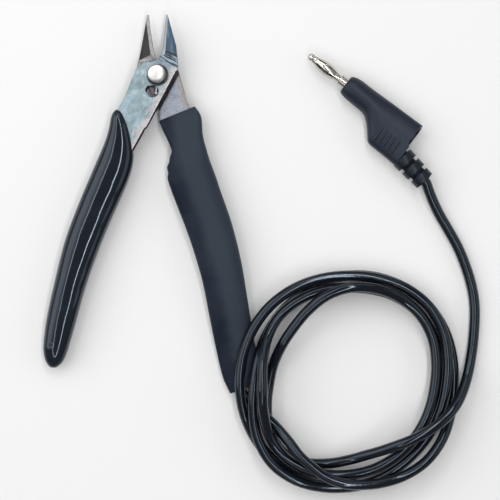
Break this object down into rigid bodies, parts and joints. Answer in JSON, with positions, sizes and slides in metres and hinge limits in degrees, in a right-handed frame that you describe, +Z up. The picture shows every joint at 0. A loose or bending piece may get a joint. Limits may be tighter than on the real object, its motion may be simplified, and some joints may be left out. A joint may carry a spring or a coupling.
{
  "type": "hot wire cutter",
  "caption": "Lapped side cutter with a dipped grip on one handle and a sleeved current lead on the other, ending in a stackable lantern plug.",
  "frame": {"origin": "under the middle of the cutter's own box, without the free lead and plug, on the table", "axes": "+Y along the cutter toward its jaws, +X toward the sleeved handle, +Z up from the table through the rivet's domed head"},
  "size_m": [0.1533, 0.1675, 0.0177],
  "materials": {
    "blade_steel": "ground",
    "rivet_steel": "bright",
    "spring_steel": "bright",
    "dipped_grip": "gloss",
    "squeezed_grip": "gloss",
    "shrink_tube": "matt",
    "lead_insulation": "satin",
    "copper_strands": "bare",
    "solder": "satin",
    "plug_plastic": "satin",
    "boot_plastic": "satin",
    "contact_nickel": "bright",
    "cage_nickel": "bright"
  },
  "bodies": {
    "rear_half": {"rear_blade": "blade_steel", "pivot_rivet": "rivet_steel", "return_spring": "spring_steel", "right_grip": "squeezed_grip", "shrink_sleeve": "shrink_tube", "handle_lead": "lead_insulation", "handle_conductor": "copper_strands", "handle_solder": "solder", "lead_tail": "lead_insulation", "lead_coil": "lead_insulation", "lead_run": "lead_insulation", "strain_relief": "boot_plastic", "plug_shell": "plug_plastic", "plug_contact": "contact_nickel", "plug_lead": "lead_insulation", "plug_conductor": "copper_strands", "plug_solder": "solder"},
    "front_half": {"front_blade": "blade_steel", "left_grip": "dipped_grip"},
    "cage": {"pin_cage": "cage_nickel"}
  },
  "joints": [
    {"name": "blade_pivot", "type": "hinge", "parent": "rear_half", "child": "front_half", "pos_m": [0.00105, 0.0453, 0.0052], "axis": [0, 0, 1], "range_deg": [0, 15.5], "stiffness_Nm_per_rad": 0.8, "springref_deg": -14.32, "deforming": ["return_spring"]},
    {"name": "cage_spin", "type": "hinge", "parent": "rear_half", "child": "cage", "pos_m": [0.05991, 0.04774, 0.0045], "axis": [0.788, -0.6157, 0], "continuous": true}
  ]
}
